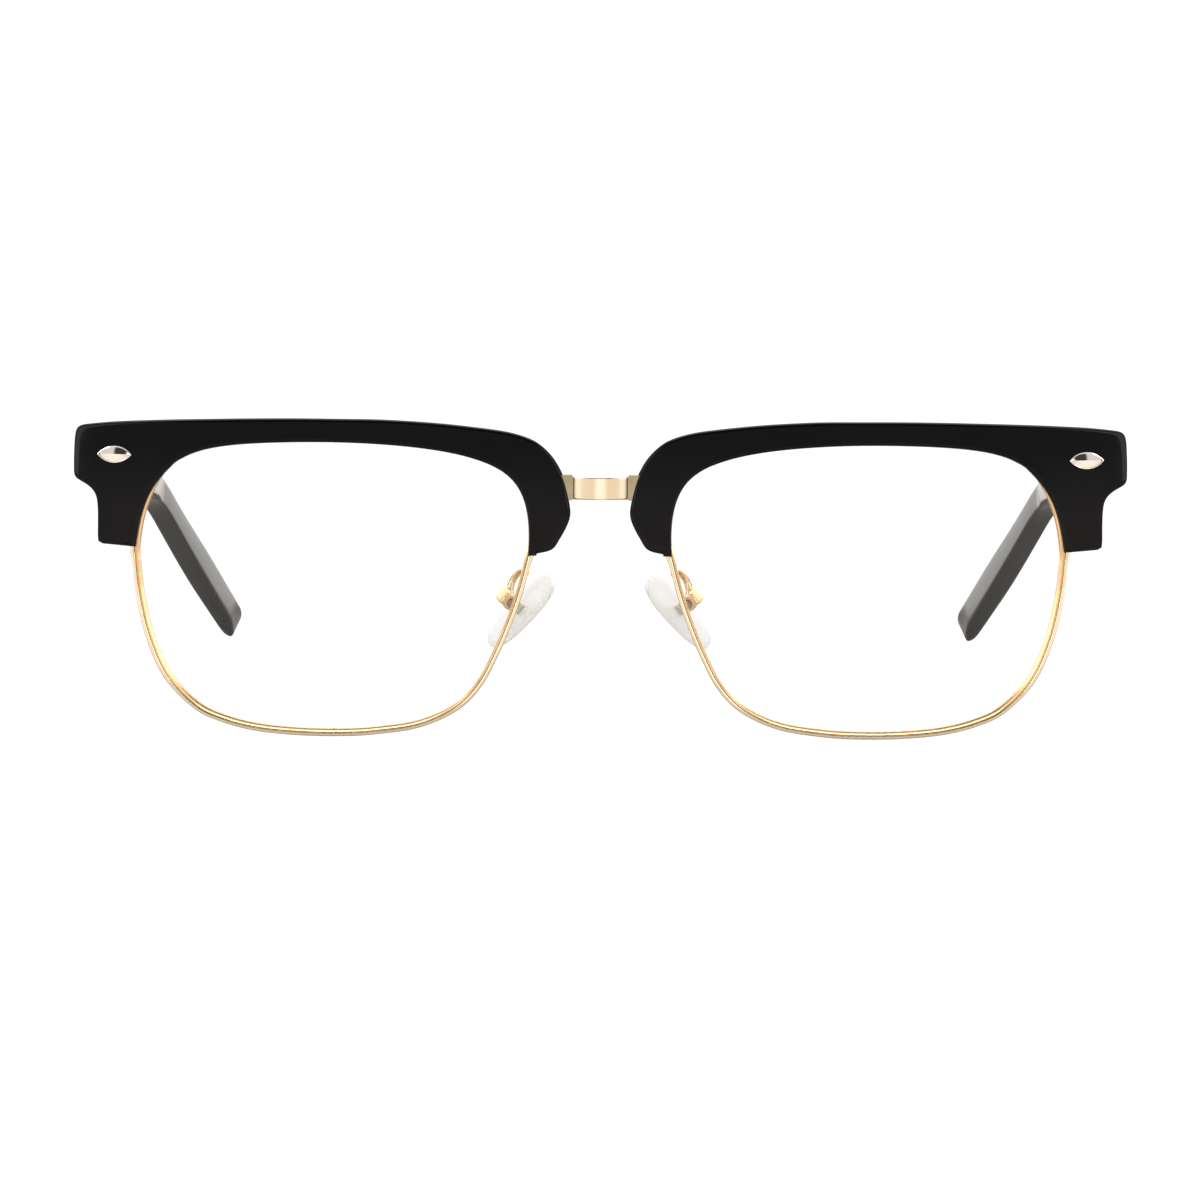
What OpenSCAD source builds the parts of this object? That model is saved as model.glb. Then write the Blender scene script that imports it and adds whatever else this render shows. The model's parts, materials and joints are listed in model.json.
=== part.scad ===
// Browline eyeglasses with folding temples and rocking nose pads.
// Units are millimetres. +X is right in the front view, +Y runs back
// along the temples and +Z is up. The glasses stand open on Z = 0.

/* [Front] */
// Thickness of the plastic brows, front to back
brow_thickness = 4.0; // [3.6:0.2:4.4]
// Thickness of the lenses
lens_thickness = 1.8; // [1.2:0.2:2.0]
// Depth of the metal rims, front to back
rim_depth = 2.0; // [2.0:0.1:2.4]
// Width of the metal rims seen from the front
rim_width = 1.1; // [1.0:0.05:1.15]
// How far the bridge strap bows forward between the brows
bridge_bow = 1.25; // [0.8:0.05:1.6]

/* [Temples] */
// Length of the straight arm from the hinge to the bend
arm_length = 98; // [90:1:106]
// Length of the bent tip behind the bend
tip_length = 46; // [38:1:48]
// Angle of the bent tip below the arm, in degrees
tip_drop = 28.2; // [24:0.2:29]
// Angle of the arm below level, in degrees
arm_pitch = 6.8; // [4:0.2:8]
// Thickness of the temple at the hinge
temple_thickness = 3.9; // [3.5:0.1:4.1]
// Height of the temple at the hinge
temple_height = 6.7; // [6.2:0.1:7.2]

/* [Nose pads] */
// Length of a nose pad
pad_length = 12.8; // [11:0.2:13.6]
// Width of a nose pad
pad_width = 7.2; // [6.5:0.1:8]
// How far each pad opens towards the back, in degrees
pad_splay = 27; // [18:1:32]

/* [Colours] */
// Colour of the brows
brow_colour = "#1c1b1b";
// Colour of the rims, bridge and pad arms
gold_colour = "#d9bb85";
// Colour of the rivets and screws
steel_colour = "#c9c8c4";
// Colour of the lenses
lens_colour = "#eef2f2";
// Colour of the nose pads
pad_colour = "#e9e7e2";
// Colour of the temples
temple_colour = "#3a3836";

/* [Hidden] */
$fn = 64;

// The front follows a sphere on each side: centre line of the lens wall.
base_radius = 125;
sphere_centre = [28, 125, 22];
brow_front = 1.9;
brow_back = brow_thickness - brow_front;
// Moves everything so that the bounding box is centred front to back.
front_shift = -74.60;
// A little room between pieces that touch.
slip = 0.05;

// Inner edge of the rim, from the temporal side down, round and over.
aperture = [[64.0, 27.0], [63.95, 24.0], [63.4, 19.5], [62.1, 14.0],
    [59.7, 8.6], [55.8, 4.6], [52.1, 2.85], [47.5, 1.75], [41.8, 1.25],
    [35.9, 1.2], [31.1, 1.5], [25.0, 2.5], [20.0, 4.8], [16.9, 8.0],
    [14.6, 12.4], [12.85, 16.6], [11.6, 20.2], [10.55, 24.1],
    [9.85, 27.6], [9.75, 31.0], [10.3, 33.6], [11.5, 35.8],
    [13.2, 37.3], [16.0, 38.7], [20.5, 40.0], [25.2, 40.8],
    [30.0, 41.2], [37.1, 41.5], [43.0, 41.4], [49.7, 41.1],
    [53.6, 40.6], [57.0, 39.5], [59.8, 37.5], [61.85, 34.6],
    [63.3, 30.9]];

// Brow seen from the front: upper edge from the nose out, the stepped
// end with its short leg, then the edge along the lens back to the nose.
brow_outline = [[10.15, 25.65], [8.5, 26.0], [7.5, 26.2], [6.8, 26.5],
    [6.35, 26.95], [5.9, 27.7], [5.2, 28.9], [4.6, 30.2], [4.35, 31.3],
    [4.45, 32.5], [4.85, 34.6], [5.4, 36.6], [6.55, 38.7], [8.1, 40.4],
    [10.0, 41.6], [13.0, 42.5], [17.1, 43.1], [22.9, 43.7],
    [30.0, 44.1], [36.0, 44.15], [45.0, 44.1], [53.3, 43.9],
    [59.0, 43.7], [64.0, 43.45], [67.6, 43.2], [71.0, 42.8],
    [71.85, 42.6], [72.3, 42.3], [72.5, 41.8], [72.6, 40.6],
    [72.65, 38.4], [72.65, 36.2], [72.4, 35.5], [71.8, 35.05],
    [70.8, 34.5], [69.95, 33.8], [69.45, 32.9], [69.25, 31.6],
    [69.2, 27.6], [69.1, 26.85], [68.7, 26.5],
    [64.0, 26.2], [63.9, 27.4], [63.35, 30.1], [62.55, 32.6],
    [61.25, 34.9], [59.75, 36.8], [58.2, 38.15], [55.6, 39.4],
    [53.3, 40.1], [49.7, 40.6], [42.5, 40.9], [37.1, 41.0],
    [30.0, 40.8], [25.2, 40.4], [20.5, 39.7], [16.0, 38.3],
    [13.5, 37.1], [12.2, 36.0], [11.25, 34.7], [10.5, 32.6],
    [10.15, 30.8], [10.0, 28.2]];

// Part of the brow that runs back to meet the temple.
end_outline = [[68.65, 35.6], [72.4, 35.6], [72.65, 36.1],
    [72.65, 38.4], [72.5, 41.5], [72.1, 42.2], [71.5, 42.5],
    [68.65, 42.5]];

hinge_point = [66.9, 13.5, 38.9];
hinge_face = 1.75;
knuckle_radius = 1.3;
hinge_bore = 0.58;
leaf_room = 0.15;
front_knuckles = [[-2.8, 1.05], [-0.5, 1.0], [1.75, 1.05]];
temple_knuckles = [[-1.7, 1.15], [0.55, 1.15]];
temple_rivet_places = [3.6, 7.4];

pad_centre = [10.9, 9.6, 17.0];
pad_lean = 42;
pad_pivot = [2.7, 0, 0.2];

rivet_place = [66.75, 38.7];
rivet_pins = [-1.2, 1.2];

// ---------- curves ----------

function catmull(a, b, c, d, t) = 0.5 * (2 * b + (c - a) * t
    + (2 * a - 5 * b + 4 * c - d) * t * t
    + (3 * b - a - 3 * c + d) * t * t * t);

// Closed smooth curve with m points for each span of the list.
function closed_curve(p, m) = let (n = len(p))
    [for (i = [0 : n - 1]) for (k = [0 : m - 1])
        catmull(p[(i + n - 1) % n], p[i], p[(i + 1) % n],
            p[(i + 2) % n], k / m)];

function unit(v) = v / norm(v);

// Points moved outwards by d; the curve runs clockwise from the front.
function grown(p, d) = let (n = len(p))
    [for (i = [0 : n - 1])
        let (t = unit(p[(i + 1) % n] - p[(i + n - 1) % n]))
            p[i] + d * [-t[1], t[0]]];

// Point of the lens wall at x, z; depth counts backwards from it.
function on_wall(q, depth) = let (
    dx = q[0] - sphere_centre[0],
    dz = q[1] - sphere_centre[2],
    dy = -sqrt(pow(base_radius, 2) - dx * dx - dz * dz))
    sphere_centre + [dx, dy, dz] * (base_radius - depth) / base_radius;

rim_line = closed_curve(aperture, 2);

// Faces of a stack of closed rings of m points, n rings, closed round.
function loop_faces(n, m) = [for (i = [0 : n - 1]) for (k = [0 : m - 1])
    each let (a = i * m + k, b = i * m + (k + 1) % m,
        c = ((i + 1) % n) * m + (k + 1) % m, d = ((i + 1) % n) * m + k)
        [[a, b, c], [a, c, d]]];

// The same for an open stack, closed by one face at each end.
function stack_faces(n, m) = concat(
    [for (i = [0 : n - 2]) for (k = [0 : m - 1])
        each let (a = i * m + k, b = i * m + (k + 1) % m,
            c = (i + 1) * m + (k + 1) % m, d = (i + 1) * m + k)
            [[a, b, c], [a, c, d]]],
    [[for (k = [m - 1 : -1 : 0]) k]],
    [[for (k = [0 : m - 1]) (n - 1) * m + k]]);

function flipped(faces) = [for (f = faces) [for (k = [len(f) - 1 : -1 : 0]) f[k]]];

// ---------- placing ----------

module placed() {
    translate([0, front_shift, 0]) children();
}

module mirrored_right() {
    placed() mirror([1, 0, 0]) children();
}

module at_hinge() {
    translate(hinge_point) rotate([-arm_pitch, 0, 0]) children();
}

module at_pad() {
    translate(pad_centre) rotate([0, -pad_lean, 0])
        rotate([0, 0, -pad_splay]) children();
}

// Local -Y points straight out of the brow's front face at the rivet.
module at_rivet() {
    dx = rivet_place[0] - sphere_centre[0];
    dz = rivet_place[1] - sphere_centre[2];
    translate(on_wall(rivet_place, -brow_front))
        rotate([-asin(dz / base_radius), 0,
            asin(dx / sqrt(pow(base_radius, 2) - dz * dz))]) children();
}

module wall_sphere(depth) {
    translate(sphere_centre) sphere(r = base_radius - depth, $fn = 128);
}

module prism(outline) {
    translate([0, 22, 0]) rotate([90, 0, 0]) linear_extrude(30) polygon(outline);
}

// Round bar along local Y.
module bar_y(r, y0, y1) {
    translate([0, y0, 0]) rotate([-90, 0, 0]) cylinder(r = r, h = y1 - y0);
}

module bar_x(r, x0, x1) {
    translate([x0, 0, 0]) rotate([0, 90, 0]) cylinder(r = r, h = x1 - x0);
}

// ---------- front ----------

module brow_shape() {
    difference() {
        union() {
            difference() {
                intersection() {
                    prism(brow_outline);
                    wall_sphere(-brow_front);
                }
                wall_sphere(brow_back);
            }
            intersection() {
                prism(end_outline);
                wall_sphere(-brow_front);
                at_hinge() translate([-20, -30, -20]) cube([40, 30, 40]);
            }
        }
        intersection() {
            prism(grown(rim_line, rim_width + 0.15));
            wall_sphere(-rim_depth / 2 - slip);
        }
        at_hinge() translate([-3.6, -4.4, -3.4]) cube([3.6 + hinge_face, 12, 6.8]);
        translate([63, 4.8, 26.4]) cube([4.5, 10, 5.5]);
        at_rivet() for (x = rivet_pins) translate([x, 0, 0]) bar_y(0.52, -1, 8);
        lug_body(slip);
    }
}

// Rim section: across from the lens outwards, and depth.
function rim_section() = let (h = rim_depth / 2, c = 0.18, w = rim_width)
    [[0, -h], [w - c, -h], [w, c - h], [w, h - c], [w - c, h], [0, h], [0.45, 0]];

module rim_shape() {
    section = rim_section();
    n = len(rim_line);
    m = len(section);
    points = [for (i = [0 : n - 1])
        let (t = unit(rim_line[(i + 1) % n] - rim_line[(i + n - 1) % n]))
            for (s = section)
                on_wall(rim_line[i] + s[0] * [-t[1], t[0]], s[1])];
    polyhedron(points, loop_faces(n, m), convexity = 6);
}

module lens_shape() {
    middle = [36.6, 21.4];
    h = lens_thickness / 2;
    n = len(rim_line);
    edge = grown(rim_line, -slip);
    bevel = grown(rim_line, 0.38);
    function part(f) = [for (p = edge) middle + f * (p - middle)];
    rings = [[part(0.3), -h], [part(0.65), -h], [edge, -h], [bevel, 0],
        [edge, h], [part(0.65), h], [part(0.3), h]];
    points = [for (r = rings) for (p = r[0]) on_wall(p, r[1])];
    centres = [on_wall(middle, -h), on_wall(middle, h)];
    sides = stack_faces(len(rings), n);
    walls = [for (i = [0 : len(sides) - 3]) sides[i]];
    last = len(points);
    low = (len(rings) - 1) * n;
    caps = [for (k = [0 : n - 1]) each
        [[last, (k + 1) % n, k], [last + 1, low + k, low + (k + 1) % n]]];
    polyhedron(concat(points, centres), concat(walls, caps), convexity = 4);
}

module bridge_shape() {
    half = 3.85;
    r = (half * half + bridge_bow * bridge_bow) / (2 * bridge_bow);
    wall = 1.2;
    intersection() {
        translate([-half, -2, 33.4]) cube([2 * half, 6, 3.2]);
        translate([0, 0.2 + r, 30]) difference() {
            cylinder(r = r, h = 10, $fn = 128);
            translate([0, 0, -1]) cylinder(r = r - wall, h = 12, $fn = 128);
        }
    }
}

module lug_body(room) {
    translate([3.85 - 20 * room * room, 1.1 - room, 33.3 - room])
        cube([1.6 + 20 * room * room + room, 2.4 + 2 * room, 3.5 + 2 * room]);
    translate([5.0, 1.9 - room, 33.8 - room])
        cube([4.2 + 4 * room, 1.6 + 2 * room, 2.0 + 2 * room]);
}

// Smooth open path through a list of points, m steps for each span.
function open_curve(p, m) = let (n = len(p)) concat(
    [for (i = [0 : n - 2]) for (k = [0 : m - 1])
        catmull(p[max(i - 1, 0)], p[i], p[i + 1], p[min(i + 2, n - 1)], k / m)],
    [p[n - 1]]);

// Round wire along a path that never runs along X.
module wire(path, r) {
    n = len(path);
    m = 12;
    points = [for (i = [0 : n - 1])
        let (t = unit(path[min(i + 1, n - 1)] - path[max(i - 1, 0)]),
            u = unit(cross(t, [1, 0, 0])),
            v = cross(t, u))
            for (k = [0 : m - 1])
                path[i] + r * (cos(k * 360 / m) * u + sin(k * 360 / m) * v)];
    polyhedron(points, flipped(stack_faces(n, m)), convexity = 4);
}

module pad_arm_shape() {
    difference() {
        wire(open_curve([[10.25, 2.45, 23.1], [10.3, 4.4, 23.3],
            [10.8, 6.6, 23.1], [11.5, 8.0, 22.5], [12.1, 8.6, 21.6],
            [12.45, 8.6, 20.6], [12.45, 8.5, 19.6]], 3), 0.5);
        at_pad() translate(pad_pivot) {
            bar_y(1.17, -1.27, 1.27);
            translate([0, -1.27, -1.17]) cube([1.62, 2.54, 2.34]);
        }
    }
}

module pad_box_shape() {
    at_pad() translate(pad_pivot) difference() {
        intersection() {
            union() {
                bar_y(1.15, -1.25, 1.25);
                translate([0, -1.25, -1.15]) cube([1.6, 2.5, 2.3]);
            }
            bar_x(1.5, -2, 2);
        }
        translate([-3, -0.75, -3]) cube([3.95, 1.5, 6]);
        bar_y(0.36, -3, 3);
    }
}

module pad_screw_shape() {
    at_pad() translate(pad_pivot) {
        bar_y(0.34, -1.3, 1.4);
        bar_y(0.75, -1.6, -1.28);
    }
}

module pad_insert_shape() {
    at_pad() difference() {
        union() {
            translate(pad_pivot) bar_y(0.8, -0.6, 0.6);
            translate([0.45, -0.6, pad_pivot[2] - 0.8]) cube([2.25, 1.2, 1.6]);
        }
        translate(pad_pivot) bar_y(0.38, -3, 3);
    }
}

// Rounded pad, fuller towards the upper end.
module nose_pad_shape() {
    outline = [for (a = [0 : 7.5 : 352.5])
        [-pad_length / 2 * sin(a), pad_width / 2 * cos(a) * (1 + 0.12 * sin(a))]];
    r = 17;
    at_pad() difference() {
        intersection() {
            rotate([0, 90, 0]) linear_extrude(4, center = true) polygon(outline);
            translate([r - 0.9, 0, 0]) sphere(r = r, $fn = 160);
            translate([0.75 - 34, 0, 0]) sphere(r = 34, $fn = 240);
        }
        translate([0.4, -0.65, pad_pivot[2] - 0.85]) cube([3, 1.3, 1.7]);
    }
}

// Pointed oval head with two pins into the hinge plate.
module trim_rivet_shape() {
    arc = 3.1;
    at_rivet() {
        rotate([0, 2, 0]) intersection() {
            translate([0, 0, arc - 1.2]) bar_y(arc, -0.75, 0);
            translate([0, 0, 1.2 - arc]) bar_y(arc, -0.75, 0);
            translate([0, 8.25, 0]) sphere(r = 9, $fn = 96);
        }
        for (x = rivet_pins) translate([x, 0, 0]) bar_y(0.5, -0.1, 3.2);
    }
}

// ---------- hinge ----------

module knuckles(stack, r_bore) {
    difference() {
        union() {
            for (k = stack) translate([0, 0, k[0]]) cylinder(r = knuckle_radius, h = k[1]);
            children();
        }
        translate([0, 0, -5]) cylinder(r = r_bore, h = 10);
    }
}

module front_hinge_shape() {
    at_hinge() knuckles(front_knuckles, hinge_bore) {
        for (k = front_knuckles)
            translate([-1.0, -3.6, k[0]]) cube([2.0, 3.6, k[1]]);
        translate([-3.3, -4.35, -2.9]) cube([4.9, 0.9, 5.8]);
    }
}

module hinge_screw_shape() {
    at_hinge() difference() {
        union() {
            translate([0, 0, -3.0]) cylinder(r = 0.55, h = 5.9);
            translate([0, 0, 2.85]) cylinder(r1 = 1.1, r2 = 0.9, h = 0.45);
        }
        translate([-2, -0.15, 3.1]) cube([4, 0.3, 1]);
    }
}

module temple_hinge_shape() {
    at_hinge() difference() {
        knuckles(temple_knuckles, hinge_bore) {
            for (k = temple_knuckles)
                translate([0, 0, k[0]]) cube([1.5, knuckle_radius, k[1]]);
            translate([hinge_face - 0.45, 0.35, -2.3]) cube([0.43, 9.2, 4.6]);
        }
        for (y = temple_rivet_places) translate([0, y, 0]) bar_x(0.47, 1, 3);
    }
}

module temple_rivets_shape() {
    at_hinge() for (y = temple_rivet_places) translate([0, y, 0]) {
        bar_x(0.45, hinge_face - 0.5, hinge_face + 1.5);
        bar_x(0.85, hinge_face - 0.75, hinge_face - 0.47);
    }
}

// ---------- rim lock ----------

module rim_lock(z0, x0, h) {
    difference() {
        translate([x0, 4.95, z0]) cube([67.2 - x0, 2.9, h]);
        translate([66.1, 6.5, 20]) cylinder(r = 0.53, h = 15);
    }
}

module rim_lock_screw_shape() {
    difference() {
        union() {
            translate([66.1, 6.5, 27.1]) cylinder(r = 0.5, h = 4.4);
            translate([66.1, 6.5, 26.75]) cylinder(r = 0.9, h = 0.42);
        }
        translate([65, 6.38, 26.5]) cube([2.2, 0.24, 0.42]);
    }
}

// ---------- temple ----------

temple_length = arm_length + tip_length;
bend_blend = 9;
// How much of the tip's rounding comes from below.
tip_rise = 0.75;

function smooth(t) = let (u = min(max(t, 0), 1)) u * u * (3 - 2 * u);
// Stations along the temple, closer together at the ends and the bend.
stations = concat([leaf_room, leaf_room + 0.35], [for (i = [1 : 8]) i * 10.6],
    [for (i = [0 : 8]) arm_length - 9 + i * 2.6],
    [for (i = [1 : 5]) arm_length + 12 + i * (tip_length - 20) / 5],
    [for (i = [4 : -1 : 0]) temple_length - 0.05 - i * i * 0.4]);
function drop_at(s) = tip_drop * smooth((s - arm_length + bend_blend) / (2 * bend_blend));
function side_at(s) = -0.3 * max(min(s / arm_length, 1) - 0.12, 0) / 0.88
    - 11.2 * pow(max(s - arm_length, 0) / tip_length, 1.1);
function wide_at(s) = temple_thickness - (temple_thickness - 3.5) * smooth((s - 12) / 30)
    - 0.7 * smooth((s - temple_length + 24) / 24);
function tall_at(s) = temple_height - (temple_height - 4.4) * smooth((s - 10) / 70)
    + 1.0 * smooth((s - arm_length - 5) / 25);
// Shrinks the last few millimetres, r, into a round end.
function round_at(s, r) = let (e = (temple_length - s) / r)
    e >= 1 ? 1 : sqrt(max(1 - pow(1 - e, 2), 0.02));
// The underside narrows over the last few millimetres to a keel, which
// lies towards the outer face.
keel_length = 8;
keel_shift = 1.1;
function keel_at(s) = 1 - pow(max(s - temple_length + keel_length, 0) / keel_length, 1.5);
// Rounds the front corners a little.
function nose_at(s) = s < leaf_room + 0.2 ? 0.93 : 1;

// Running position along the arm, as [y, z], by adding up short steps.
function walked(i, at) = i >= len(stations) - 1 ? [at] : let (
    s = (stations[i] + stations[i + 1]) / 2,
    ds = stations[i + 1] - stations[i])
    concat([at], walked(i + 1, at + ds * [cos(drop_at(s)), -sin(drop_at(s))]));

// Section of the temple as a rounded rectangle of unit half sizes.
temple_section = [[1, -0.5], [1, 0.5], [0.86, 0.82], [0.5, 1], [-0.5, 1], [-0.86, 0.82],
    [-1, 0.5], [-1, -0.5], [-0.86, -0.82], [-0.5, -1], [0.5, -1], [0.86, -0.82]];

module temple_body() {
    path = walked(0, [stations[0], 0]);
    points = [for (i = [0 : len(stations) - 1])
        let (s = stations[i], a = drop_at(s),
            w = wide_at(s) / 2, h = tall_at(s) / 2,
            kw = round_at(s, 4) * nose_at(s),
            k = (0.5 + 0.5 * round_at(s, 6)) * nose_at(s),
            middle = hinge_face + temple_thickness / 2 + side_at(s))
            for (q = temple_section)
                let (up = h * (q[1] * k + tip_rise * (1 - k)),
                    low = (1 - q[1]) / 2 * (1 - keel_at(s)),
                    across = q[0] * w * kw * (1 - 0.85 * low))
                    [middle + across + keel_shift * low,
                        path[i][0] + up * sin(a), path[i][1] + up * cos(a)]];
    polyhedron(points, stack_faces(len(stations), len(temple_section)), convexity = 6);
}

module temple_shape() {
    at_hinge() difference() {
        temple_body();
        for (y = temple_rivet_places) translate([0, y, 0])
            bar_x(0.48, hinge_face - 1, hinge_face + 1.6);
    }
}

// ---------- nodes ----------

module left_brow() { color(brow_colour) placed() brow_shape(); }
module right_brow() { color(brow_colour) mirrored_right() brow_shape(); }
module left_rim() { color(gold_colour) placed() rim_shape(); }
module right_rim() { color(gold_colour) mirrored_right() rim_shape(); }
module left_lens() { color(lens_colour, 0.3) placed() lens_shape(); }
module right_lens() { color(lens_colour, 0.3) mirrored_right() lens_shape(); }
module bridge() { color(gold_colour) placed() bridge_shape(); }
module left_bridge_lug() { color(gold_colour) placed() lug_body(0); }
module right_bridge_lug() { color(gold_colour) mirrored_right() lug_body(0); }
module left_pad_arm() { color(gold_colour) placed() pad_arm_shape(); }
module right_pad_arm() { color(gold_colour) mirrored_right() pad_arm_shape(); }
module left_pad_box() { color(gold_colour) placed() pad_box_shape(); }
module right_pad_box() { color(gold_colour) mirrored_right() pad_box_shape(); }
module left_pad_screw() { color(steel_colour) placed() pad_screw_shape(); }
module right_pad_screw() { color(steel_colour) mirrored_right() pad_screw_shape(); }
module left_nose_pad() { color(pad_colour, 0.6) placed() nose_pad_shape(); }
module right_nose_pad() { color(pad_colour, 0.6) mirrored_right() nose_pad_shape(); }
module left_pad_insert() { color(steel_colour) placed() pad_insert_shape(); }
module right_pad_insert() { color(steel_colour) mirrored_right() pad_insert_shape(); }
module left_trim_rivet() { color(steel_colour) placed() trim_rivet_shape(); }
module right_trim_rivet() { color(steel_colour) mirrored_right() trim_rivet_shape(); }
module left_front_hinge() { color(gold_colour) placed() front_hinge_shape(); }
module right_front_hinge() { color(gold_colour) mirrored_right() front_hinge_shape(); }
module left_hinge_screw() { color(steel_colour) placed() hinge_screw_shape(); }
module right_hinge_screw() { color(steel_colour) mirrored_right() hinge_screw_shape(); }
module left_rim_lock_upper() { color(gold_colour) placed() rim_lock(29.6, 64.92, 2.1); }
module right_rim_lock_upper() { color(gold_colour) mirrored_right() rim_lock(29.6, 64.92, 2.1); }
module left_rim_lock_lower() { color(gold_colour) placed() rim_lock(27.2, 65.3, 2.2); }
module right_rim_lock_lower() { color(gold_colour) mirrored_right() rim_lock(27.2, 65.3, 2.2); }
module left_rim_lock_screw() { color(steel_colour) placed() rim_lock_screw_shape(); }
module right_rim_lock_screw() { color(steel_colour) mirrored_right() rim_lock_screw_shape(); }
module left_temple() { color(temple_colour) placed() temple_shape(); }
module right_temple() { color(temple_colour) mirrored_right() temple_shape(); }
module left_temple_hinge() { color(gold_colour) placed() temple_hinge_shape(); }
module right_temple_hinge() { color(gold_colour) mirrored_right() temple_hinge_shape(); }
module left_temple_rivets() { color(steel_colour) placed() temple_rivets_shape(); }
module right_temple_rivets() { color(steel_colour) mirrored_right() temple_rivets_shape(); }

left_brow();
right_brow();
left_rim();
right_rim();
left_lens();
right_lens();
bridge();
left_bridge_lug();
right_bridge_lug();
left_pad_arm();
right_pad_arm();
left_pad_box();
right_pad_box();
left_pad_screw();
right_pad_screw();
left_nose_pad();
right_nose_pad();
left_pad_insert();
right_pad_insert();
left_trim_rivet();
right_trim_rivet();
left_front_hinge();
right_front_hinge();
left_hinge_screw();
right_hinge_screw();
left_rim_lock_upper();
right_rim_lock_upper();
left_rim_lock_lower();
right_rim_lock_lower();
left_rim_lock_screw();
right_rim_lock_screw();
left_temple();
right_temple();
left_temple_hinge();
right_temple_hinge();
left_temple_rivets();
right_temple_rivets();
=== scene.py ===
import json
import math

import bmesh
import bpy
import numpy as np
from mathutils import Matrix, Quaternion, Vector


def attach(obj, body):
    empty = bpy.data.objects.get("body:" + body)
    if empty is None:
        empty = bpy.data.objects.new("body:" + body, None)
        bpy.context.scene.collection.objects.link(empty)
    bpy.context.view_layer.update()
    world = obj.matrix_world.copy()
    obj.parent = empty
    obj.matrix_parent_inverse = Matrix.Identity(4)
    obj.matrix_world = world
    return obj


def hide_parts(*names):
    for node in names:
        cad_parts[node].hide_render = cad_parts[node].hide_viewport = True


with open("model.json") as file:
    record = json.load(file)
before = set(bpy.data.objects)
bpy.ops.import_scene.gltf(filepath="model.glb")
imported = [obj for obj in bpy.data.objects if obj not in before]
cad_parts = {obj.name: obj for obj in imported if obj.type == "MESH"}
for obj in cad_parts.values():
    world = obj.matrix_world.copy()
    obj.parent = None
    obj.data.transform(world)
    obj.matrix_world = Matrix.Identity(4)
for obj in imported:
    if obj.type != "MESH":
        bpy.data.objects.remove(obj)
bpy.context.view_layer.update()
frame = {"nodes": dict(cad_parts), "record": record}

MM = 0.001
JOINTS = {j["name"]: j for j in frame["record"]["behaviour"]["joints"]}
HINGE = np.array(JOINTS["left_temple_fold"]["pos_m"]) / MM
HINGE_AXIS = np.array(JOINTS["left_temple_fold"]["axis"])
PAD_PIVOT = np.array(JOINTS["left_pad_rock"]["pos_m"]) / MM
# Y of the middle of the lens walls: the hinges are 13.5 mm behind it.
FRONT_Y = HINGE[1] - 13.5
# The lens walls' sphere on the +X side.
SPHERE_R = 125.0
SPHERE_C = np.array([28.0, FRONT_Y + SPHERE_R, 22.0])

# ---------------------------------------------------------------- outlines
# Inner edge of the rim: temporal side, down, round and over (x, z in mm).
APERTURE = [
    (64.0, 27.0), (63.95, 24.0), (63.4, 19.5), (62.1, 14.0), (59.7, 8.6),
    (55.8, 4.6), (52.1, 2.85), (47.5, 1.75), (41.8, 1.25), (35.9, 1.2),
    (31.1, 1.5), (25.0, 2.5), (20.0, 4.8), (16.9, 8.0), (14.6, 12.4),
    (12.85, 16.6), (11.6, 20.2), (10.55, 24.1), (9.85, 27.6), (9.75, 31.0),
    (10.3, 33.6), (11.5, 35.8), (13.2, 37.3), (16.0, 38.7), (20.5, 40.0),
    (25.2, 40.8), (30.0, 41.2), (37.1, 41.5), (43.0, 41.4), (49.7, 41.1),
    (53.6, 40.6), (57.0, 39.5), (59.8, 37.5), (61.85, 34.6), (63.3, 30.9),
]
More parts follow.
